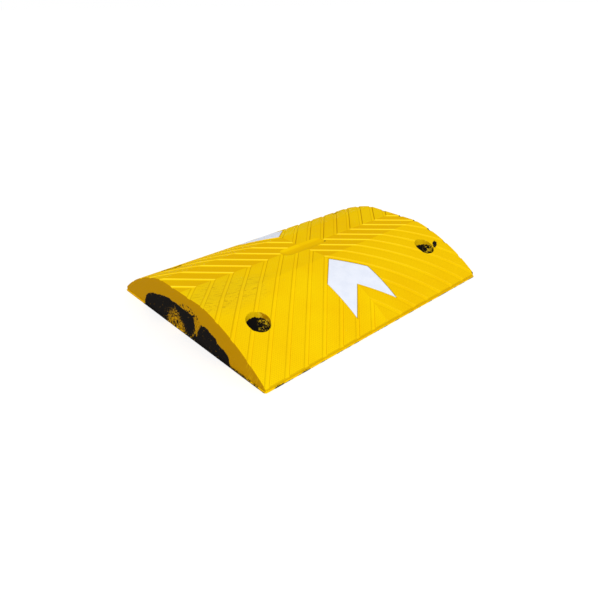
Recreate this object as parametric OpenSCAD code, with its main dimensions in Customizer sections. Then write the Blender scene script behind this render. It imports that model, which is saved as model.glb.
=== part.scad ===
// Rubber speed bump module: a moulded rubber ramp with V-grooved, slip-resistant
// slopes, four counterbored fixing holes and two inlaid chevron arrow panels.
// +X runs across the lane, +Y runs with the traffic, +Z is up, and the origin
// is on the road at the middle of the module. All sizes are in millimetres.

/* [Module] */
// Length across the lane
module_length = 500; // [460:10:900]
// Width in the direction of travel
module_width = 400; // [380:10:480]
// Height of the crest above the road
crest_height = 73; // [60:1:90]
// Half width of the flat crest
crest_half = 58; // [45:1:62]
// Height of the upright edge at the foot of each slope
lip_height = 7; // [5:0.5:12]
// Radius of the curve of each slope
slope_radius = 320; // [290:5:500]
// Radius of the upright corners
corner_radius = 2.5; // [1:0.5:10]
// How far the thin foot rim stands out all round
rim_width = 1.7; // [1:0.1:4]
// Thickness of the foot rim
rim_thickness = 2; // [1:0.5:4]

/* [Grooves] */
// Width of each groove
groove_width = 6; // [3:0.5:8]
// Depth of each groove below the pads
groove_depth = 1.3; // [1:0.1:3]
// Distance from one groove to the next, square to the grooves
groove_pitch = 25; // [18:1:40]
// Distance from the middle of the crest to the first V's point
first_apex = 47.5; // [45:0.5:60]

/* [Label recess] */
// Length of the smooth dished recess on the crest
dish_length = 96; // [60:1:100]
// Width of the recess
dish_width = 27; // [16:1:34]
// Depth of the recess in the middle
dish_depth = 2.5; // [1:0.5:4]

/* [Fixing holes] */
// Spacing of the holes across the lane
hole_spacing_x = 390; // [300:10:420]
// Spacing of the holes in the direction of travel
hole_spacing_y = 240; // [200:10:280]
// Diameter of the recess for the bolt head and its washer
recess_diameter = 36; // [28:1:44]
// Diameter of the hole for the bolt
bolt_hole_diameter = 16; // [8:1:20]
// Thickness of rubber under the bolt head
seat_height = 20; // [12:1:25]

/* [Arrow panels] */
// Width of each arrow
arrow_width = 95; // [80:1:110]
// Distance from the middle of the crest to the arrow's point
arrow_tip = 66; // [64:1:80]
// How far the arrow's shoulders lie behind its point
arrow_sweep = 45; // [35:1:50]
// Thickness of the arrow's band, measured along the direction of travel
arrow_band = 65; // [40:1:68]
// Thickness of each arrow panel
panel_thickness = 1.3; // [0.8:0.1:2]
// Depth of the pocket that each panel is bonded into
pocket_depth = 1.5; // [1:0.1:2.5]
// Gap between a panel and the wall of its pocket
pocket_gap = 0.4; // [0.2:0.1:1]
// Width of the plain rim around each pocket
pocket_rim = 2; // [1:0.5:3]

/* [Hidden] */
$fn = 96;
yellow = [0.93, 0.72, 0.03];
white = [0.92, 0.93, 0.95];
overcut = 1;
half_length = module_length / 2 - rim_width;
half_width = module_width / 2 - rim_width;
groove_step = groove_pitch * sqrt(2);
groove_reach = module_length + module_width;
// Numbers of the groove lines that cross a quarter; line 0 starts at first_apex
first_line = -floor((half_width + first_apex) / groove_step);
last_line = floor((half_length - first_apex) / groove_step);
// Centre of the slope's circle, from its two end points and its radius
chord = [half_width - crest_half, lip_height - crest_height];
chord_half = norm(chord) / 2;
centre_drop = sqrt(pow(slope_radius, 2) - pow(chord_half, 2)) / norm(chord);
slope_centre = [
    (half_width + crest_half) / 2 + chord[1] * centre_drop,
    (crest_height + lip_height) / 2 - chord[0] * centre_drop
];
dish_radius = (pow(dish_width / 2, 2) + pow(dish_depth, 2)) / (2 * dish_depth);
dish_straight = dish_length - dish_width;

// Half of the cross-section, with its surface sunk by drop. It runs a little past
// the outline, which the body is trimmed to
module half_section(drop) {
    intersection() {
        translate([-overcut, 0]) square([half_width + 2 * overcut, crest_height - drop]);
        translate(slope_centre) circle(r = slope_radius - drop, $fn = 360);
    }
}

// The ramp's whole cross-section run along the lane, with its surface sunk by drop
module ramp(drop) {
    rotate([90, 0, 90]) linear_extrude(2 * half_length + 2 * overcut, center = true) {
        half_section(drop);
        mirror([1, 0]) half_section(drop);
    }
}

// The ramp's outline from above, grown outwards by grow
module footprint(grow) {
    inner = [half_length - corner_radius, half_width - corner_radius];
    square(2 * [half_length + grow, inner[1]], center = true);
    square(2 * [inner[0], half_width + grow], center = true);
    for (x = [-1, 1], y = [-1, 1])
        translate([x * inner[0], y * inner[1]]) circle(r = corner_radius + grow);
}

// One quarter of the groove pattern: parallel lines at 45 degrees
module groove_quarter() {
    intersection() {
        square([half_length + overcut, half_width + overcut]);
        for (line = [first_line:last_line])
            translate([first_apex + line * groove_step, 0]) rotate(45)
                square([2 * groove_reach, groove_width], center = true);
    }
}

// All the grooves from above: the quarters mirror into nested Vs
module groove_plan() {
    for (x = [0, 1], y = [0, 1])
        mirror([x, 0]) mirror([0, y]) groove_quarter();
}

// Chevron outline of the front arrow, grown outwards by grow
module arrow_plan(grow) {
    slant = arrow_sweep / (arrow_width / 2);
    side = arrow_width / 2 + grow;
    shift = grow * sqrt(1 + slant * slant);
    tip = -arrow_tip + shift;
    notch = -arrow_tip - arrow_band - shift;
    polygon([
        [0, tip],
        [side, tip - slant * side],
        [side, notch - slant * side],
        [0, notch],
        [-side, notch - slant * side],
        [-side, tip - slant * side]
    ]);
}

// Outline of the recess on the crest
module dish_plan() {
    square([dish_straight, dish_width], center = true);
    for (x = [-1, 1])
        translate([x * dish_straight / 2, 0]) circle(d = dish_width);
}

// Everything above the surface that is sunk by drop, inside a plan outline
module surface_cut(drop) {
    difference() {
        linear_extrude(crest_height + overcut) children();
        ramp(drop);
    }
}

module groove_cut() {
    surface_cut(groove_depth) difference() {
        groove_plan();
        for (y = [0, 1]) mirror([0, y]) arrow_plan(pocket_gap + pocket_rim);
        dish_plan();
    }
}

module dish_cut() {
    translate([0, 0, crest_height + dish_radius - dish_depth]) {
        rotate([0, 90, 0]) cylinder(r = dish_radius, h = dish_straight, center = true);
        for (x = [-1, 1])
            translate([x * dish_straight / 2, 0, 0]) sphere(r = dish_radius);
    }
}

module fixing_hole() {
    translate([0, 0, -overcut]) cylinder(d = bolt_hole_diameter, h = crest_height);
    translate([0, 0, seat_height]) cylinder(d = recess_diameter, h = crest_height);
}

// Arrow panel bonded into the front pocket: a thin plate that follows the slope
module arrow_panel() {
    color(white) difference() {
        intersection() {
            linear_extrude(crest_height) arrow_plan(0);
            ramp(pocket_depth - panel_thickness);
        }
        ramp(pocket_depth);
    }
}

// The ramp with its grooves, pockets and recess, on its thin foot rim
module ramp_block() {
    difference() {
        intersection() {
            ramp(0);
            linear_extrude(crest_height) footprint(0);
        }
        groove_cut();
        for (y = [0, 1]) mirror([0, y]) surface_cut(pocket_depth) arrow_plan(pocket_gap);
        dish_cut();
    }
    linear_extrude(rim_thickness) footprint(rim_width);
}

module rubber_body() {
    color(yellow) difference() {
        ramp_block();
        for (x = [-1, 1], y = [-1, 1])
            translate([x * hole_spacing_x / 2, y * hole_spacing_y / 2, 0]) fixing_hole();
    }
}

module front_arrow() {
    arrow_panel();
}

module rear_arrow() {
    mirror([0, 1, 0]) arrow_panel();
}

rubber_body();
front_arrow();
rear_arrow();
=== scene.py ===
"""Rubber speed bump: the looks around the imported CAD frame.

Everything is in metres in the CAD frame: +X across the lane, +Y with the traffic, +Z up.
The ramp is one watertight mesh made from a quarter of the surface, mirrored twice. The
fixing holes, arrow pockets and label recess are cut from it with rounded rims.
"""
import math

import bmesh
import bpy
import numpy as np
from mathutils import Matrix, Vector


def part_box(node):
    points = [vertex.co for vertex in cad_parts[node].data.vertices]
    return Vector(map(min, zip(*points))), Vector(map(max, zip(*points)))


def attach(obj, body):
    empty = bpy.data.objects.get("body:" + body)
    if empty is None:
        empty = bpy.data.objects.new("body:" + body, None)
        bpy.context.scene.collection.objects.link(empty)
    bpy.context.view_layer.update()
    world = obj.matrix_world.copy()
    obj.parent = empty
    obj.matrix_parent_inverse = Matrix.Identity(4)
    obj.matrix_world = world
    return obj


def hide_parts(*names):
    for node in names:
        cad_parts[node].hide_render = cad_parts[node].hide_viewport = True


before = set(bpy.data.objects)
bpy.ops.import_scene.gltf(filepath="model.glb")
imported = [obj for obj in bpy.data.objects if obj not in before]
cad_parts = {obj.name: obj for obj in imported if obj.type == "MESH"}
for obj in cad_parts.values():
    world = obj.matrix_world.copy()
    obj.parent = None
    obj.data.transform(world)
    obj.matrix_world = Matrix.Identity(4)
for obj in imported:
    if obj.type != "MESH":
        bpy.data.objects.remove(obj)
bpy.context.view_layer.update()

MM = 0.001
_, BODY_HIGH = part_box("rubber_body")
_, ARROW_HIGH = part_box("front_arrow")
RIM_WIDTH = 1.7 * MM
RIM_THICKNESS = 2 * MM
HALF_LENGTH = BODY_HIGH.x - RIM_WIDTH
HALF_WIDTH = BODY_HIGH.y - RIM_WIDTH
CREST_HEIGHT = BODY_HIGH.z
CREST_HALF = 58 * MM
LIP_HEIGHT = 7 * MM
SLOPE_RADIUS = 320 * MM
CORNER_RADIUS = 2.5 * MM
EDGE_RADIUS = 0.9 * MM
GROOVE_WIDTH = 6 * MM
GROOVE_DEPTH = 1.3 * MM
GROOVE_PITCH = 25 * MM
FIRST_APEX = 47.5 * MM
GROOVE_STEP = GROOVE_PITCH * math.sqrt(2)
DISH_LENGTH = 96 * MM
DISH_WIDTH = 27 * MM
DISH_DEPTH = 2.5 * MM
HOLE_X, HOLE_Y = 195 * MM, 120 * MM
RECESS_RADIUS = 18 * MM
BOLT_RADIUS = 8 * MM
SEAT_HEIGHT = 20 * MM
ARROW_HALF = ARROW_HIGH.x
ARROW_TIP = -ARROW_HIGH.y
ARROW_SWEEP = 45 * MM
ARROW_BAND = 65 * MM
PANEL_THICKNESS = 1.3 * MM
POCKET_DEPTH = 1.5 * MM
POCKET_GAP = 0.4 * MM
POCKET_RIM = 2 * MM

# how finely the surfaces are divided
CREST_ROWS, SLOPE_ROWS, EDGE_ROWS = 36, 62, 9
ARROW_STEPS, SIDE_STEPS = 49, 23
HOLE_STEPS, DISH_STEPS = 96, 120


# ---------------------------------------------------------------- shape of the ramp

CHORD = np.array([HALF_WIDTH - CREST_HALF, LIP_HEIGHT - CREST_HEIGHT])
CHORD_LENGTH = np.hypot(*CHORD)
CENTRE_DROP = math.sqrt(SLOPE_RADIUS**2 - (CHORD_LENGTH / 2) ** 2) / CHORD_LENGTH
SLOPE_Y = (HALF_WIDTH + CREST_HALF) / 2 + CHORD[1] * CENTRE_DROP
SLOPE_Z = (CREST_HEIGHT + LIP_HEIGHT) / 2 - CHORD[0] * CENTRE_DROP


def ramp_height(y, drop=0.0):
    """Height of the plain ramp, with its surface sunk by drop."""
    radius = SLOPE_RADIUS - drop
    slope = SLOPE_Z + np.sqrt(radius**2 - (np.abs(y) - SLOPE_Y) ** 2)
    return np.minimum(CREST_HEIGHT - drop, slope)


def smooth(low, high, value):
    t = np.clip((value - low) / (high - low), 0, 1)
    return t * t * (3 - 2 * t)


def capsule_distance(x, y):
    """Distance outside the label recess's outline."""
    straight = (DISH_LENGTH - DISH_WIDTH) / 2
    return np.hypot(np.maximum(np.abs(x) - straight, 0), y) - DISH_WIDTH / 2


def arrow_distance(x, y):
    """Distance outside the chevron's outline, front or rear."""
    slant = ARROW_SWEEP / ARROW_HALF
    across = np.abs(x) - ARROW_HALF
    along = (np.abs(y) - ARROW_TIP - slant * np.abs(x)) / math.hypot(1, slant)
    band = ARROW_BAND / math.hypot(1, slant)
    return np.maximum(across, np.maximum(-along, along - band))


def groove_drop(x, y):
    """How far the grooves sink the surface, with rounded walls and closed ends."""
    line = (np.abs(x) - np.abs(y) - FIRST_APEX) / GROOVE_STEP
    offset = np.abs(line - np.round(line)) * GROOVE_PITCH
    wall = 1 - smooth(GROOVE_WIDTH / 2 - 1.1 * MM, GROOVE_WIDTH / 2 + 0.5 * MM, offset)
    ends = smooth(0, 1.2 * MM, capsule_distance(x, y))
    ends *= smooth(POCKET_RIM - 1 * MM, POCKET_RIM + 0.4 * MM, arrow_distance(x, y))
    return GROOVE_DEPTH * wall * ends


def surface_height(x, y):
    """Height of the finished top, before the edge is rounded."""
    return ramp_height(y, groove_drop(x, y))


def exit_run(x, y, inset):
    """How far a line at 45 degrees runs from (x, y) to the outline inset by inset."""
    a, b = HALF_LENGTH - inset, HALF_WIDTH - inset
    r = max(CORNER_RADIUS - inset, 0.1 * MM)
    run = np.minimum(a - x, b - y)
    mid_x, mid_y = a - r, b - r
    in_corner = (x + run > mid_x) & (y + run > mid_y)
    half_sum = (x - mid_x) + (y - mid_y)
    rest = (x - mid_x) ** 2 + (y - mid_y) ** 2 - r * r
    root = (-half_sum + np.sqrt(np.maximum(half_sum**2 - 2 * rest, 0))) / 2
    return np.maximum(np.where(in_corner, root, run), 0)


# ---------------------------------------------------------------- mesh helpers

def new_object(name, verts, faces):
    mesh = bpy.data.meshes.new(name)
    mesh.from_pydata([tuple(v) for v in verts], [], faces)
    mesh.update()
    obj = bpy.data.objects.new(name, mesh)
    bpy.context.scene.collection.objects.link(obj)
    return obj


def weld(obj, distance=1e-6):
    bm = bmesh.new()
    bm.from_mesh(obj.data)
    bmesh.ops.remove_doubles(bm, verts=bm.verts, dist=distance)
    bmesh.ops.dissolve_degenerate(bm, edges=bm.edges, dist=distance / 2)
    bmesh.ops.recalc_face_normals(bm, faces=bm.faces)
    open_edges = sum(1 for e in bm.edges if not e.is_manifold)
    bm.to_mesh(obj.data)
    bm.free()
    return open_edges


def cut(obj, cutter):
    """Takes the cutter's closed mesh out of obj."""
    boolean = obj.modifiers.new("cut", "BOOLEAN")
    boolean.operation = "DIFFERENCE"
    boolean.solver = "MANIFOLD"
    boolean.object = cutter
    apply_modifiers(obj)
    bpy.data.objects.remove(cutter)


def apply_modifiers(obj):
    graph = bpy.context.evaluated_depsgraph_get()
    graph.update()
    mesh = bpy.data.meshes.new_from_object(obj.evaluated_get(graph))
    obj.modifiers.clear()
    obj.data = mesh


def shade(obj, angle=34):
    """Smooth shading, with edges over the angle kept crisp."""
    bm = bmesh.new()
    bm.from_mesh(obj.data)
    for face in bm.faces:
        face.smooth = True
    limit = math.radians(angle)
    for edge in bm.edges:
        edge.smooth = len(edge.link_faces) == 2 and edge.calc_face_angle(0) < limit
    bm.to_mesh(obj.data)
    bm.free()


def grid_faces(rows, columns, closed=False, start=0):
    """Quads between the points of a grid that is listed row by row."""
    faces = []
    for i in range(rows - 1):
        for j in range(columns if closed else columns - 1):
            k = (j + 1) % columns
            a, b = start + i * columns, start + (i + 1) * columns
            faces.append((a + j, a + k, b + k, b + j))
    return faces


def lofted(name, rings):
    """A closed mesh through rings of the same number of points, with flat ends."""
    count = len(rings[0])
    faces = grid_faces(len(rings), count, closed=True)
    faces.append(tuple(range(count)))
    last = (len(rings) - 1) * count
    faces.append(tuple(range(last + count - 1, last - 1, -1)))
    obj = new_object(name, [p for ring in rings for p in ring], faces)
    weld(obj)
    return obj


# ---------------------------------------------------------------- the rubber body

def groove_lines():
    """Values of |x| - |y| to run mesh lines along: close at groove walls, wide on pads."""
    wall = [0, 1.8, 2.15, 2.5, 2.85, 3.2, 3.6]
    pad = [5.2, 8.0, 11.0]
    offsets = [s * MM * math.sqrt(2) for s in wall + pad]
    low, high = EDGE_RADIUS - HALF_WIDTH, HALF_LENGTH - EDGE_RADIUS
    lines = {low, 0.0, high}
    first = -math.ceil((HALF_WIDTH + FIRST_APEX) / GROOVE_STEP)
    last = math.ceil((HALF_LENGTH - FIRST_APEX) / GROOVE_STEP)
    for n in range(first, last + 1):
        middle = FIRST_APEX + n * GROOVE_STEP
        for s in offsets:
            lines |= {round(middle + s, 7), round(middle - s, 7)}
    margin = 0.2 * MM
    inner = [c for c in lines if low + margin < c < high - margin]
    return np.array([low] + sorted(inner) + [high])


def quarter_points():
    """Grid of points over one quarter, from the middle lines out and down the edge."""
    lines = groove_lines()
    x0, y0 = np.maximum(lines, 0), np.maximum(-lines, 0)

    def row(run, inset, sink=0.0):
        x = np.concatenate([[0], x0 + run, [HALF_LENGTH - inset]])
        y = np.concatenate([[HALF_WIDTH - inset], y0 + run, [0]])
        return x, y, surface_height(x, y) - sink

    reach = exit_run(x0, y0, EDGE_RADIUS)
    kink = np.clip(CREST_HALF - y0, 0, reach)
    rows = [row(kink * t, EDGE_RADIUS) for t in np.linspace(0, 1, CREST_ROWS)]
    for t in np.linspace(0, 1, SLOPE_ROWS)[1:]:
        rows.append(row(kink + (reach - kink) * t, EDGE_RADIUS))
    for turn in np.radians([22.5, 45, 67.5, 90]):
        inset = EDGE_RADIUS * (1 - math.sin(turn))
        sink = EDGE_RADIUS * (1 - math.cos(turn))
        rows.append(row(exit_run(x0, y0, inset), inset, sink))
    edge_x, edge_y, edge_z = rows[-1]
    for t in np.linspace(0, 1, EDGE_ROWS)[1:]:
        rows.append((edge_x, edge_y, edge_z + (RIM_THICKNESS - edge_z) * t))
    soft = 0.5 * MM
    rim = ((0.3 * MM - RIM_WIDTH, RIM_THICKNESS), (-RIM_WIDTH, RIM_THICKNESS - soft),
           (-RIM_WIDTH, soft), (soft - RIM_WIDTH, 0))
    for inset, height in rim:
        x, y, z = row(exit_run(x0, y0, inset), inset)
        rows.append((x, y, np.full_like(z, height)))
    return rows


def make_body():
    rows = quarter_points()
    count = len(rows[0][0])
    quarter = np.array([np.stack(row, axis=1) for row in rows]).reshape(-1, 3)
    verts, faces = [], []
    for sx in (1, -1):
        for sy in (1, -1):
            faces += grid_faces(len(rows), count, start=len(verts))
            verts += list(quarter * (sx, sy, 1))
    base = (len(rows) - 1) * count
    size = len(quarter)
    rim = list(range(base + count - 1, base - 1, -1))
    faces.append(tuple(
        rim
        + [2 * size + i for i in reversed(rim)][1:]
        + [3 * size + i for i in rim][1:]
        + [size + i for i in reversed(rim)][1:-1]
    ))
    body = new_object("speed_bump_body", verts, faces)
    print("open edges in the body", weld(body))
    return body


def hole_cutter(sx, sy):
    """Bolt recess and bolt hole, with a rounded mouth that follows the slope."""
    angles = np.linspace(0, 2 * math.pi, HOLE_STEPS, endpoint=False)
    cos, sin = np.cos(angles), np.sin(angles)

    def ring(radius, height, follow):
        x, y = sx * HOLE_X + radius * cos, sy * HOLE_Y + radius * sin
        z = ramp_height(y) + height if follow else np.full_like(x, height)
        return list(zip(x, y, z))

    rings = [
        ring(BOLT_RADIUS + 1 * MM, -2 * MM, False),
        ring(BOLT_RADIUS + 1 * MM, 0, False),
        ring(BOLT_RADIUS, 1 * MM, False),
        ring(BOLT_RADIUS, SEAT_HEIGHT - 0.6 * MM, False),
        ring(BOLT_RADIUS + 0.6 * MM, SEAT_HEIGHT, False),
        ring(RECESS_RADIUS - 1.5 * MM, SEAT_HEIGHT, False),
        ring(RECESS_RADIUS - 0.4 * MM, SEAT_HEIGHT + 0.4 * MM, False),
        ring(RECESS_RADIUS, SEAT_HEIGHT + 1.5 * MM, False),
    ]
    mouth = 0.9 * MM
    for turn in np.radians([0, 25, 50, 75]):
        radius = RECESS_RADIUS + mouth * (1 - math.cos(turn))
        rings.append(ring(radius, mouth * (math.sin(turn) - 1), True))
    rings.append(ring(RECESS_RADIUS + 1.6 * mouth, 0.3 * mouth, True))
    rings.append(ring(RECESS_RADIUS + 1.6 * mouth, 20 * MM, True))
    return lofted("hole_cutter", rings)


def arrow_ring(grow, drop, sy, rise=0.0):
    """Chevron outline on the sunk ramp surface, as one ring of close points."""
    slant = ARROW_SWEEP / ARROW_HALF
    side = ARROW_HALF + grow
    shift = grow * math.hypot(1, slant)
    steps = np.linspace(-1, 1, ARROW_STEPS)
    tip = ARROW_TIP - shift + slant * np.abs(steps) * side
    tail = ARROW_TIP + ARROW_BAND + shift + slant * np.abs(steps) * side
    up = np.linspace(0, 1, SIDE_STEPS + 2)[1:-1]
    x = np.concatenate([steps * side, np.full_like(up, side),
                        steps[::-1] * side, np.full_like(up, -side)])
    y = np.concatenate([tip, tip[-1] + (tail[-1] - tip[-1]) * up,
                        tail[::-1], tail[0] + (tip[0] - tail[0]) * up])
    return list(zip(x, sy * y, ramp_height(y, drop) + rise))


def pocket_cutter(sy):
    """Arrow pocket with a small chamfer at its mouth."""
    rings = [
        arrow_ring(POCKET_GAP, POCKET_DEPTH, sy),
        arrow_ring(POCKET_GAP, 0.35 * MM, sy),
        arrow_ring(POCKET_GAP + 0.3 * MM, 0.05 * MM, sy),
        arrow_ring(POCKET_GAP + 0.8 * MM, 0, sy, 0.1 * MM),
        arrow_ring(POCKET_GAP + 0.8 * MM, 0, sy, 10 * MM),
    ]
    return filled_chevron("pocket_cutter", rings)


def filled_chevron(name, rings):
    """Like lofted, but its ends are quads across the chevron's band."""
    count = len(rings[0])
    faces = grid_faces(len(rings), count, closed=True)
    verts = [p for ring in rings for p in ring]
    steps, ups = ARROW_STEPS, SIDE_STEPS
    for ring in (0, len(rings) - 1):
        start = ring * count
        z = [p[2] for p in rings[ring]]
        tips = [start + i for i in range(steps)]
        tails = [start + steps + ups + steps - 1 - i for i in range(steps)]
        sides = [start + steps + i for i in range(ups)]
        left = [start + 2 * steps + 2 * ups - 1 - i for i in range(ups)]
        drop = ramp_height(np.array(rings[ring][0][1])) - z[0]
        grid = [[tips[i]] for i in range(steps)]
        for i in range(1, steps - 1):
            top, low = np.array(verts[tips[i]]), np.array(verts[tails[i]])
            for k in range(ups):
                p = top + (low - top) * (k + 1) / (ups + 1)
                p[2] = ramp_height(p[1]) - drop
                grid[i].append(len(verts))
                verts.append(tuple(p))
        grid[0] += left
        grid[-1] += sides
        for i in range(steps):
            grid[i].append(tails[i])
        for i in range(steps - 1):
            for k in range(ups + 1):
                faces.append((grid[i][k], grid[i + 1][k], grid[i + 1][k + 1], grid[i][k + 1]))
    obj = new_object(name, verts, faces)
    print(name, "open edges", weld(obj))
    return obj


def dish_cutter():
    """Shallow smooth recess on the crest: a capsule-shaped lens with a soft rim."""
    angles = np.linspace(0, 2 * math.pi, DISH_STEPS, endpoint=False)
    straight = (DISH_LENGTH - DISH_WIDTH) / 2
    half = DISH_WIDTH / 2
    radius = (half**2 + DISH_DEPTH**2) / (2 * DISH_DEPTH)
    rings = []
    for share in (0.02, 0.1, 0.2, 0.3, 0.4, 0.5, 0.6, 0.7, 0.8, 0.88, 0.95, 1.0, 1.04):
        r = half * share
        z = CREST_HEIGHT + radius - DISH_DEPTH - math.sqrt(radius**2 - r * r)
        rings.append([
            (r * math.cos(a) + math.copysign(straight, math.cos(a)), r * math.sin(a), z)
            for a in angles
        ])
    rings.append([(p[0], p[1], CREST_HEIGHT + 10 * MM) for p in rings[-1]])
    return lofted("dish_cutter", rings)


# ---------------------------------------------------------------- arrow panels

def make_arrow(sy, name):
    """Thin panel with a softly rounded edge, curved to the slope."""
    top = POCKET_DEPTH - PANEL_THICKNESS
    rings = [
        arrow_ring(-0.1 * MM, POCKET_DEPTH, sy),
        arrow_ring(0, POCKET_DEPTH - 0.15 * MM, sy),
        arrow_ring(0, top + 0.4 * MM, sy),
        arrow_ring(-0.12 * MM, top + 0.12 * MM, sy),
        arrow_ring(-0.4 * MM, top, sy),
    ]
    return filled_chevron(name, rings)


# ---------------------------------------------------------------- materials

class Nodes:
    """Short way to write a material's node tree."""

    def __init__(self, name):
        self.material = bpy.data.materials.new(name)
        self.material.use_nodes = True
        self.tree = self.material.node_tree
        self.tree.nodes.clear()
        out = self.node("ShaderNodeOutputMaterial")
        self.shader = self.node("ShaderNodeBsdfPrincipled")
        self.tree.links.new(self.shader.outputs[0], out.inputs[0])

    def node(self, kind, **settings):
        node = self.tree.nodes.new(kind)
        for key, value in settings.items():
            setattr(node, key, value)
        return node

    def feed(self, socket, value):
        """Links a socket, or sets a constant."""
        if isinstance(value, bpy.types.NodeSocket):
            self.tree.links.new(value, socket)
        else:
            socket.default_value = value

    def math(self, operation, *values, clamp=False):
        node = self.node("ShaderNodeMath", operation=operation, use_clamp=clamp)
        for socket, value in zip(node.inputs, values):
            self.feed(socket, value)
        return node.outputs[0]

    def chain(self, operation, values):
        total = values[0]
        for value in values[1:]:
            total = self.math(operation, total, value)
        return total

    def add(self, *values):
        return self.chain("ADD", values)

    def mul(self, *values):
        return self.chain("MULTIPLY", values)

    def either(self, *values):
        """The greatest of the values."""
        return self.chain("MAXIMUM", values)

    def sub(self, a, b):
        return self.math("SUBTRACT", a, b)

    def abs(self, value):
        return self.math("ABSOLUTE", value)

    def sign(self, value):
        return self.math("SIGN", value)

    def hypot(self, a, b):
        return self.math("SQRT", self.add(self.mul(a, a), self.mul(b, b)))

    def inverse(self, value):
        return self.math("SUBTRACT", 1.0, value, clamp=True)

    def step(self, low, high, value):
        """0 at low, 1 at high, smooth between them. Low may be the greater one."""
        node = self.node("ShaderNodeMapRange", interpolation_type="SMOOTHSTEP")
        self.feed(node.inputs["Value"], value)
        self.feed(node.inputs["From Min"], low)
        self.feed(node.inputs["From Max"], high)
        return node.outputs["Result"]

    def noise(self, place, scale, detail=4.0, rough=0.55, distortion=0.0):
        node = self.node("ShaderNodeTexNoise")
        self.feed(node.inputs["Vector"], place)
        node.inputs["Scale"].default_value = scale
        node.inputs["Detail"].default_value = detail
        node.inputs["Roughness"].default_value = rough
        node.inputs["Distortion"].default_value = distortion
        return node.outputs["Fac"]

    def centred(self, noise, amount):
        """Noise moved to lie around 0."""
        return self.mul(self.sub(noise, 0.5), amount)

    def vector(self, x, y, z):
        node = self.node("ShaderNodeCombineXYZ")
        for socket, value in zip(node.inputs, (x, y, z)):
            self.feed(socket, value)
        return node.outputs[0]

    def mix(self, share, a, b):
        """Colour a with a share of colour b over it."""
        node = self.node("ShaderNodeMix", data_type="RGBA")
        self.feed(node.inputs[0], share)
        self.feed(node.inputs[6], a)
        self.feed(node.inputs[7], b)
        return node.outputs[2]

    def bump(self, height, distance, strength):
        node = self.node("ShaderNodeBump")
        node.inputs["Strength"].default_value = strength
        node.inputs["Distance"].default_value = distance
        self.feed(node.inputs["Height"], height)
        return node.outputs[0]

    def split(self, vector):
        node = self.node("ShaderNodeSeparateXYZ")
        self.feed(node.inputs[0], vector)
        return node.outputs

    def position(self):
        """Object coordinates in millimetres."""
        scale = self.node("ShaderNodeVectorMath", operation="SCALE")
        self.feed(scale.inputs[0], self.node("ShaderNodeTexCoord").outputs["Object"])
        scale.inputs["Scale"].default_value = 1 / MM
        return scale.outputs[0]

    def normal(self):
        return self.node("ShaderNodeNewGeometry").outputs["True Normal"]

    def blob(self, u, v, at, size, ragged, turn=0.0, edge=0.05):
        """1 inside an ellipse on the (u, v) plane, with an edge moved by ragged."""
        du, dv = self.sub(u, at[0]), self.sub(v, at[1])
        cos, sin = math.cos(math.radians(turn)), math.sin(math.radians(turn))
        a = self.add(self.mul(du, cos / size[0]), self.mul(dv, sin / size[0]))
        b = self.add(self.mul(du, -sin / size[1]), self.mul(dv, cos / size[1]))
        return self.step(1 + edge, 1 - edge, self.add(self.hypot(a, b), ragged))

    def under(self, u, v, points, ragged):
        """1 below the arched outline through points, which run with rising u."""
        inside = []
        for (u0, v0), (u1, v1) in zip(points, points[1:]):
            slope = (v1 - v0) / (u1 - u0)
            line = self.add(self.mul(u, slope), v0 - slope * u0)
            inside.append(self.math("DIVIDE", self.sub(line, v), math.hypot(1, slope)))
        return self.step(-0.35, 0.35, self.add(self.chain("MINIMUM", inside), ragged))


def colour(red, green, blue):
    """Linear colour from the 0 to 255 values of a display."""
    def linear(v):
        v /= 255
        return v / 12.92 if v <= 0.04045 else ((v + 0.055) / 1.055) ** 2.4
    return (linear(red), linear(green), linear(blue), 1.0)


PAINT_DEEP = colour(232, 188, 4)
PAINT_PALE = colour(237, 202, 6)
PAINT_DULL = colour(224, 186, 10)
# grain colour of the paint, also used for painted shade in the rib valleys
PAINT_GRAIN_AND_RIB_SHADE = colour(214, 160, 4)
# painted shade colour, for two quarters, the rear of the crest and the label recess
PAINTED_SHADE = colour(216, 164, 2)
PAINT_DIRTY = colour(205, 178, 30)
# painted light colour, for groove walls and the paint flakes in the bolt recesses
PAINTED_LIGHT = colour(253, 222, 50)
# painted shade colour, for the groove walls and the upright foot
PAINTED_CREASE_SHADE = colour(168, 112, 1)
# painted shade colour for the end faces
END_PAINTED_SHADE = colour(184, 134, 1)
SCUFF = colour(140, 98, 14)
RUBBER_DARK = colour(16, 14, 13)
RUBBER_GREY = colour(33, 30, 28)
SHEET_BLUE = colour(218, 223, 236)
SHEET_WHITE = colour(225, 229, 240)
SHEET_BEAD = colour(206, 212, 226)
FLOOR_WHITE = (0.98, 0.98, 0.98, 1)

# All lengths from here to the stage are in millimetres.
RIB_PITCH = 2.8
# Outlines of the bare patch on the left end face and of the splash of paint in it: (y, z).
BARE_LOBES = (
    [(-34, -4), (-32, 45), (36, 48), (58, 45), (93, 36), (110, 28), (121, 20), (129, 8),
     (131, -4)],
    [(-90, -4), (-89, 32), (-64, 40), (-51, 38), (-40, 24), (-29, 2)],
    [(-120, -4), (-117, 16), (-106, 23), (-86, 26), (-80, 0)],
)
SPLASH = [(-6, -2), (4, 18), (22, 38), (46, 21), (53, 12), (55, -2)]
# Knocked places on the front rim: middle and half width along x, and height.
KNOCKED = ((-225, 8, 2.3), (-177, 8, 2.1), (150, 8, 1.8), (236, 7, 1.8))


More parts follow.
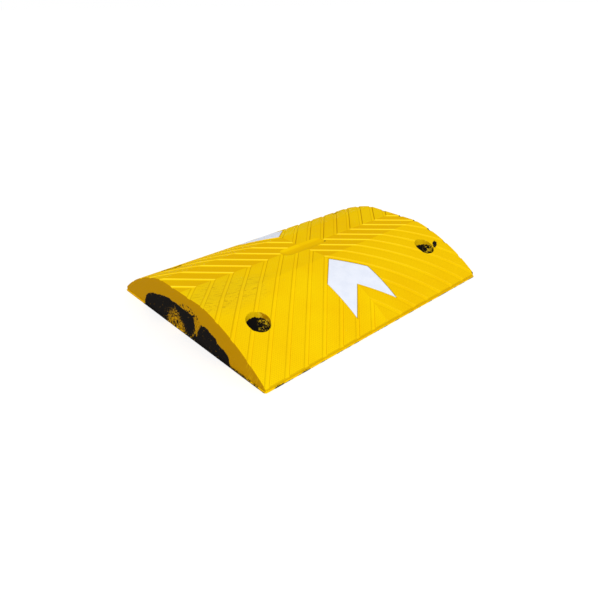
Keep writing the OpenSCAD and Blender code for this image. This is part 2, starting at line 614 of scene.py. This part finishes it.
class Surface:
    """Where a point lies on the ramp, as sockets of the node tree n."""

    def __init__(self, n):
        self.place = n.position()
        self.x, self.y, self.z = n.split(self.place)
        self.face_x, self.face_y, self.face_z = n.split(n.normal())
        self.ax, self.ay = n.abs(self.x), n.abs(self.y)
        self.top = n.step(0.5, 0.62, self.face_z)
        self.on_crest = n.step(CREST_HALF / MM + 3, CREST_HALF / MM, self.ay)
        self.depth = self.depth_below_ramp(n)

        # distance from the nearest groove's middle, square to it
        line = n.sub(n.sub(self.ax, self.ay), FIRST_APEX / MM)
        line = n.math("DIVIDE", line, GROOVE_STEP / MM)
        self.signed = n.mul(n.sub(line, n.math("ROUND", line)), GROOVE_PITCH / MM)
        self.offset = n.abs(self.signed)

        rim = DISH_WIDTH / 2 / MM
        past = n.either(n.sub(self.ax, (DISH_LENGTH - DISH_WIDTH) / 2 / MM), 0.0)
        self.outside_dish = n.step(rim, rim + 0.8, n.hypot(past, self.y))
        self.on_pad = n.mul(n.step(3.0, 3.5, self.offset), self.top, self.outside_dish)

    def depth_below_ramp(self, n):
        """How far the point lies below the surface of the plain ramp."""
        along = n.sub(self.ay, SLOPE_Y / MM)
        rise = n.math("SQRT", n.sub((SLOPE_RADIUS / MM) ** 2, n.mul(along, along)))
        height = n.math("MINIMUM", n.add(rise, SLOPE_Z / MM), CREST_HEIGHT / MM)
        return n.sub(height, self.z)


def base_coat(n, s, patchy, grain):
    """Thick yellow with slow changes of tone and fine grain."""
    broad = n.noise(s.place, 0.010, 2.0)
    paint = n.mix(n.step(0.2, 0.8, broad), PAINT_DEEP, PAINT_PALE)
    paint = n.mix(n.mul(n.step(0.5, 0.75, patchy), 0.18), paint, PAINT_DULL)
    return n.mix(n.mul(n.step(0.45, 0.8, grain), 0.22), paint, PAINT_GRAIN_AND_RIB_SHADE)


def quarter_shade_and_highlight(n, s, paint):
    """Painted light and shade by quarter. Where x and y have opposite signs: painted shade on
    the crest's pads and over the slopes, a painted highlight on the inner groove walls, and
    painted shadow on the outer walls of the slopes. In the other two quarters: a thin line of
    painted shade along each groove wall, and a little painted shade at the rear of the crest.
    """
    shining = n.step(0.5, -0.5, n.mul(n.sign(s.x), n.sign(s.y)))
    plain = n.inverse(shining)
    on_slope = n.inverse(s.on_crest)
    rear = n.step(-10.0, 10.0, s.y)
    # painted shade on the crest's pads and over the slopes where x and y have opposite signs
    pad_and_slope_shade = n.either(
        n.mul(s.on_crest, s.on_pad, 0.7),
        n.mul(on_slope, n.add(0.8, n.mul(s.on_pad, 0.2)), 0.34),
    )
    paint = n.mix(n.mul(pad_and_slope_shade, shining), paint, PAINTED_SHADE)
    # painted shade at the rear of the crest in the other two quarters
    paint = n.mix(n.mul(rear, s.on_crest, plain, 0.25), paint, PAINTED_SHADE)

    wall = n.mul(n.step(2.0, 2.6, s.offset), n.step(3.9, 3.4, s.offset), s.top, s.outside_dish)
    inner_wall = n.step(-0.5, 0.5, n.mul(n.sign(s.x), n.sign(s.signed)))
    # painted highlight on the inner groove walls where x and y have opposite signs
    lit = n.mul(inner_wall, n.add(0.35, n.mul(s.on_crest, 0.35)))
    paint = n.mix(n.mul(wall, shining, lit), paint, PAINTED_LIGHT)

    # painted shade lines along the groove walls, and painted shadow on the outer walls of the
    # slopes
    more = n.add(n.mul(s.on_crest, 0.42), n.mul(rear, 0.42), -0.2)
    crease_shade = n.add(0.26, n.mul(s.on_crest, -0.1), n.mul(inner_wall, more))
    shadow = n.mul(n.inverse(inner_wall), shining, on_slope, 0.2)
    crease_shade = n.mul(wall, n.add(n.mul(crease_shade, plain), shadow))
    return n.mix(crease_shade, paint, PAINTED_CREASE_SHADE)


def anti_slip_ribs(n, s):
    """Height of the fine ribs across the pads and of the lower ones along them."""
    across = n.mul(n.add(s.ax, s.ay), 1 / math.sqrt(2))
    along = n.mul(n.sub(s.ax, s.ay), 1 / math.sqrt(2))
    ribs = n.math("PINGPONG", across, RIB_PITCH / 2)
    cross = n.math("PINGPONG", along, RIB_PITCH / 2)
    return n.mul(n.add(ribs, n.mul(cross, 0.8)), s.on_pad)


def scuffed(n, s, paint, patchy):
    """Tyre scuffs on the left of the crest."""
    turned = n.vector(n.mul(n.add(s.x, s.y), 0.3), n.mul(n.sub(s.x, s.y), 0.03), s.z)
    flat = n.vector(n.mul(s.x, 0.03), n.mul(n.add(s.y, n.mul(s.x, 0.3)), 0.26), s.z)
    scrape = n.either(
        n.step(0.565, 0.62, n.noise(turned, 1.0, 4.0, 0.7)),
        n.step(0.58, 0.635, n.noise(flat, 1.0, 4.0, 0.7)),
    )
    reach = n.blob(s.x, s.y, (-196, -44), (68, 42), n.centred(patchy, 1.2), edge=0.4)
    paint = n.mix(n.mul(reach, 0.2), paint, PAINT_DIRTY)
    return n.mix(n.mul(scrape, reach, s.on_pad, 0.4), paint, SCUFF)


def end_face_shade_and_brush(n, s, paint):
    """Painted shade on the end faces, most on the left one, with paler brush strokes near the
    front.
    """
    on_end = n.step(0.6, 0.8, n.abs(s.face_x))
    # painted shade on both end faces, strongest on the left one
    end_shade = n.mul(on_end, n.add(0.35, n.mul(n.step(1.0, -1.0, s.x), 0.65)))
    paint = n.mix(end_shade, paint, END_PAINTED_SHADE)
    slanted = n.add(n.mul(s.y, 0.89), n.mul(s.z, 0.45))
    brush = n.noise(n.vector(s.x, n.mul(slanted, 0.5), n.mul(s.z, 0.04)), 1.0, 3.0)
    brush = n.mul(n.step(0.48, 0.66, brush), n.step(-140, -165, s.y), end_shade)
    return n.mix(n.mul(brush, 0.32), paint, PAINT_PALE)


def upright_foot(n, s):
    """Where painted shade goes: the upright edge at the foot of each slope, above the thin
    rim.
    """
    return n.mul(
        n.step(0.75, 0.9, n.abs(s.face_y)),
        n.step(RIM_THICKNESS / MM, RIM_THICKNESS / MM + 0.5, s.z),
        n.step(HALF_WIDTH / MM - 1.5, HALF_WIDTH / MM - 0.5, s.ay),
    )


def bare_end(n, s):
    """Black unpainted rubber on the left end face, with brushed yellow inside it."""
    place, y, z = s.place, s.y, s.z
    fine = n.noise(place, 0.6, 4.0, 0.75)
    coarse = n.noise(place, 0.09, 3.0)
    across = n.add(n.mul(y, 0.92), n.mul(z, 0.40))
    along = n.add(n.mul(y, -0.40), n.mul(z, 0.92))
    stroke = n.noise(n.vector(7.0, n.mul(across, 0.75), n.mul(along, 0.2)), 1.0, 4.0, 0.75)
    ragged = n.add(n.centred(fine, 7.0), n.centred(coarse, 6.0))
    lobes = n.either(*(n.under(y, z, outline, ragged) for outline in BARE_LOBES))

    # brushed splash inside the first lobe
    brushed = n.add(n.centred(stroke, 60.0), n.centred(fine, 24.0), -4.0)
    holes = n.add(n.centred(n.noise(place, 0.22, 3.0, 0.6), 1.0), n.centred(stroke, 1.4))
    splash = n.mul(n.under(y, z, SPLASH, brushed), n.step(-0.04, 0.01, holes))

    # narrow slanted gap between the lobes, wider at its top, with dark strokes in it
    middle = n.sub(n.mul(z, z, 0.017), n.add(n.mul(z, 1.3), 14.0))
    aside = n.sub(n.abs(n.sub(y, middle)), n.add(n.mul(z, 0.11), -1.6))
    frayed = n.add(n.centred(stroke, 36.0), n.centred(fine, 22.0))
    gap = n.step(0.4, -0.4, n.add(aside, frayed))

    # dark specks thrown past the upper edge, and pale ones inside
    loose = n.centred(fine, 1.0)
    speck = n.step(0.56, 0.58, n.noise(place, 0.30, 2.0))
    thrown = n.mul(speck, n.blob(y, z, (-22, 48), (28, 9), loose))
    dragged = n.mul(n.step(0.54, 0.57, stroke), n.blob(y, z, (-37, 26), (13, 24), loose))
    bare = n.either(n.mul(lobes, n.inverse(n.either(splash, gap))), thrown, dragged)
    pale = n.mul(n.step(0.725, 0.75, n.noise(place, 0.30, 1.0)), lobes)
    bare = n.mul(bare, n.inverse(n.mul(pale, 0.35)))

    # worn lower edge beside the patch
    beside = n.mul(n.step(-165.0, -140.0, y), 0.12)
    worn = n.mul(
        n.step(3.0, 1.8, n.add(z, n.centred(fine, 6.0))),
        n.step(-112, -118, y),
        n.step(0.42, 0.5, n.add(n.noise(place, 0.13, 2.0), beside)),
        n.step(-196.0, -188.0, y),
    )
    on_left_end = n.step(0.4 - HALF_LENGTH / MM, 0.1 - HALF_LENGTH / MM, s.x)
    return n.mul(n.either(bare, worn), on_left_end)


def bare_holes(n, s):
    """Black rubber deep in the bolt recesses, where the sprayed paint does not reach, and
    the flakes of paint that lie on it."""
    side_x, side_y = n.sign(s.x), n.sign(s.y)
    dx = n.sub(s.x, n.mul(side_x, HOLE_X / MM))
    dy = n.sub(s.y, n.mul(side_y, HOLE_Y / MM))
    radius = RECESS_RADIUS / MM
    inside = n.step(radius + 0.6, radius + 0.2, n.hypot(dx, dy))
    lean = n.mul(n.step(0.0, 1.0, side_x), 0.22, n.sub(dx, dy))
    drip = n.centred(n.noise(s.place, 0.12, 3.0), 9.0)
    ragged = n.centred(n.noise(s.place, 0.5, 3.0, 0.6), 3.0)
    bare = n.step(9.6, 10.2, n.add(s.depth, lean, drip, ragged))
    rightward = n.add(dx, n.mul(dy, -0.5), n.mul(side_x, -3.0))
    flakes = n.mul(
        n.step(0.53, 0.56, n.noise(s.place, 0.20, 4.0, 0.7, 1.0)),
        n.step(3.0, 12.0, rightward),
    )
    return n.mul(bare, n.inverse(flakes), inside), n.mul(flakes, inside)


def pocket_gap_shade_mask(n, s):
    """Painted shade: dark rubber colour in the narrow gaps round the arrow panels."""
    slant = ARROW_SWEEP / ARROW_HALF
    along = n.sub(n.sub(s.ay, ARROW_TIP / MM), n.mul(s.ax, slant))
    along = n.mul(along, 1 / math.hypot(1, slant))
    past = n.sub(along, ARROW_BAND / MM / math.hypot(1, slant))
    away = n.either(n.sub(s.ax, ARROW_HALF / MM), n.mul(along, -1.0), past)
    return n.mul(n.step(1.0, 0.7, away), n.step(-6.0, -3.0, away))


def chips(n, s):
    """Small places on edges where the paint has broken off the black rubber."""
    fine = n.noise(s.place, 0.5, 3.0, 0.6)
    patchy = n.noise(s.place, 0.045, 3.0)
    # groove ends on the right edge of the top
    ends = n.mul(
        n.step(245.6, 246.6, n.add(s.x, n.centred(fine, 4.0))),
        n.step(3.6, 3.0, s.offset),
        n.step(0.35, 0.45, patchy),
        n.step(30.0, 31.0, n.sub(s.z, s.y)),
        n.step(3.4, 2.4, n.add(s.depth, n.centred(fine, 3.0))),
    )
    # lowest edge of the foot rim, apart from its rear left corner
    foot = n.mul(
        n.step(1.5, 0.9, n.add(s.z, n.centred(fine, 2.2))),
        n.step(0.49, 0.54, n.noise(s.place, 0.06, 3.0)),
        n.inverse(n.mul(n.step(150.0, 160.0, s.y), n.step(-60.0, -80.0, s.x))),
    )
    on_front = n.step(-190.0, -195.0, s.y)
    for middle, half, height in KNOCKED:
        within = n.step(half + 2, half - 2, n.abs(n.sub(s.x, middle)))
        low = n.step(height, height - 0.6, n.add(s.z, n.centred(fine, 3.0)))
        foot = n.either(foot, n.mul(within, low, on_front))
    # a chip beside the right front recess, and a spot at the end of the label recess
    chip = n.blob(s.x, s.y, (220.5, -125.5), (9.5, 3.8), n.centred(fine, 1.6), turn=30)
    spot = n.blob(s.x, s.y, (46, -9), (2.2, 1.4), n.centred(fine, 1.2))
    return n.either(ends, foot, n.mul(n.either(chip, spot), n.step(0.3, 0.5, s.face_z)))


def bare_underside(n, s):
    """Bare rubber below, with overspray that creeps in from its border."""
    creep = n.noise(s.place, 0.03, 5.0, 0.65)
    border = n.math("MINIMUM", n.sub(BODY_HIGH.x / MM, s.ax), n.sub(BODY_HIGH.y / MM, s.ay))
    border = n.step(14.0, 4.0, n.add(border, n.centred(creep, 60.0)))
    return n.mul(n.step(-0.5, -0.7, s.face_z), n.inverse(border))


def painted_rubber():
    n = Nodes("painted_rubber")
    s = Surface(n)
    patchy = n.noise(s.place, 0.05, 5.0, 0.6)
    grain = n.noise(s.place, 0.7, 3.0, 0.7)
    paint = quarter_shade_and_highlight(n, s, base_coat(n, s, patchy, grain))

    knurl = anti_slip_ribs(n, s)
    # painted shade in the valleys between the anti-slip ribs
    rib_valley_shade = n.mul(n.step(RIB_PITCH * 0.45, RIB_PITCH * 0.2, knurl), s.on_pad)
    paint = n.mix(n.mul(rib_valley_shade, 0.36), paint, PAINT_GRAIN_AND_RIB_SHADE)

    # painted shade in the label recess, stronger than on the pads around it, least along its
    # rear edge
    in_dish = n.mul(n.inverse(s.outside_dish), s.top)
    deep = n.add(0.1, n.mul(n.step(9.0, 4.0, s.y), 0.45))
    paint = n.mix(n.mul(in_dish, deep), paint, PAINTED_SHADE)

    paint = scuffed(n, s, paint, patchy)
    paint = end_face_shade_and_brush(n, s, paint)
    # painted shade on the upright edge at the foot of each slope
    paint = n.mix(n.mul(upright_foot(n, s), 0.24), paint, PAINTED_CREASE_SHADE)

    in_holes, flakes = bare_holes(n, s)
    # painted light: the flakes of paint in the bolt recesses are made lighter
    paint = n.mix(n.mul(flakes, 0.5), paint, PAINTED_LIGHT)
    # painted shade in the gaps round the arrow panels
    arrow_gap_shade = n.mul(pocket_gap_shade_mask(n, s), 0.5)
    bare = n.either(bare_end(n, s), in_holes, chips(n, s), arrow_gap_shade, bare_underside(n, s))
    rubber = n.mix(grain, RUBBER_DARK, RUBBER_GREY)

    shader = n.shader
    n.feed(shader.inputs["Base Color"], n.mix(bare, paint, rubber))
    n.feed(shader.inputs["Roughness"], n.add(0.62, n.mul(bare, 0.2)))
    shader.inputs["Specular IOR Level"].default_value = 0.007

    height = n.add(n.mul(knurl, 0.25), n.mul(n.noise(s.place, 0.6, 3.0), 0.12))
    height = n.sub(height, n.mul(bare, 0.15))
    n.feed(shader.inputs["Normal"], n.bump(height, 1 * MM, 0.5))
    return n.material


def reflective_sheet():
    n = Nodes("reflective_sheet")
    place = n.position()
    cloud = n.noise(place, 0.06, 3.0)
    beads = n.noise(place, 1.6, 2.0)
    white = n.mix(n.step(0.3, 0.7, cloud), SHEET_BLUE, SHEET_WHITE)
    white = n.mix(n.mul(n.step(0.45, 0.75, beads), 0.25), white, SHEET_BEAD)
    n.feed(n.shader.inputs["Base Color"], white)
    n.shader.inputs["Roughness"].default_value = 0.5
    n.feed(n.shader.inputs["Normal"], n.bump(beads, 0.15 * MM, 0.5))
    return n.material


def floor_material():
    n = Nodes("studio_floor")
    n.shader.inputs["Base Color"].default_value = FLOOR_WHITE
    n.shader.inputs["Specular IOR Level"].default_value = 0.0
    n.shader.inputs["Roughness"].default_value = 0.9
    return n.material


# ---------------------------------------------------------------- the stage

CAMERA_PLACE = Vector((-0.5753, -0.6343, 0.444))
CAMERA_VIEW = Vector((0.5818, 0.6504, -0.4884))
CAMERA_ROLL = math.radians(-0.75)
CAMERA_LENS = 31.53
SENSOR_WIDTH = 36
FLOOR_REACH = 400
STUDIO_LIGHT = 0.36
KEY_FROM = Vector((-0.31, -0.39, 0.87))
KEY_SIZE = math.radians(14)
KEY_STRENGTH = 2.64


def aim(obj, direction):
    obj.rotation_euler = direction.to_track_quat("-Z", "Y").to_euler()


def add_camera():
    data = bpy.data.cameras.new("camera")
    data.lens = CAMERA_LENS
    data.sensor_width = SENSOR_WIDTH
    camera = bpy.data.objects.new("camera", data)
    camera.location = CAMERA_PLACE
    bpy.context.scene.collection.objects.link(camera)
    aim(camera, CAMERA_VIEW)
    camera.rotation_euler.rotate_axis("Z", CAMERA_ROLL)
    bpy.context.scene.camera = camera


def add_key_light():
    """Soft sunlight from the front left."""
    data = bpy.data.lights.new("key", "SUN")
    data.angle = KEY_SIZE
    data.energy = KEY_STRENGTH
    lamp = bpy.data.objects.new("key", data)
    lamp.location = KEY_FROM * 2
    bpy.context.scene.collection.objects.link(lamp)
    aim(lamp, -KEY_FROM)


def add_studio():
    """Even white light. The camera sees it as plain white behind the floor's far edge."""
    world = bpy.data.worlds.new("studio")
    bpy.context.scene.world = world
    world.use_nodes = True
    nodes, links = world.node_tree.nodes, world.node_tree.links
    background = nodes["Background"]
    background.inputs["Color"].default_value = (1, 1, 1, 1)
    path = nodes.new("ShaderNodeLightPath")
    level = nodes.new("ShaderNodeMapRange")
    level.inputs["To Min"].default_value = STUDIO_LIGHT
    level.inputs["To Max"].default_value = 1.0
    links.new(path.outputs["Is Camera Ray"], level.inputs["Value"])
    links.new(level.outputs["Result"], background.inputs["Strength"])


def add_floor():
    far = FLOOR_REACH
    corners = [(-far, -far, 0), (far, -far, 0), (far, far, 0), (-far, far, 0)]
    floor = new_object("floor", corners, [(0, 1, 2, 3)])
    floor.data.materials.append(floor_material())


# ---------------------------------------------------------------- build

body = make_body()
for sx in (1, -1):
    for sy in (1, -1):
        cut(body, hole_cutter(sx, sy))
for sy in (-1, 1):
    cut(body, pocket_cutter(sy))
cut(body, dish_cutter())
print("open edges after cutting", weld(body, 2e-6), "faces", len(body.data.polygons))
shade(body)
body.data.materials.clear()
body.data.materials.append(painted_rubber())
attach(body, "root")
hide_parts("rubber_body")

sheet = reflective_sheet()
for sy, node in ((-1, "front_arrow"), (1, "rear_arrow")):
    arrow = make_arrow(sy, node + "_panel")
    shade(arrow)
    arrow.data.materials.append(sheet)
    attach(arrow, "root")
    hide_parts(node)

add_camera()
add_floor()
add_studio()
add_key_light()
bpy.context.scene.view_settings.view_transform = "Standard"
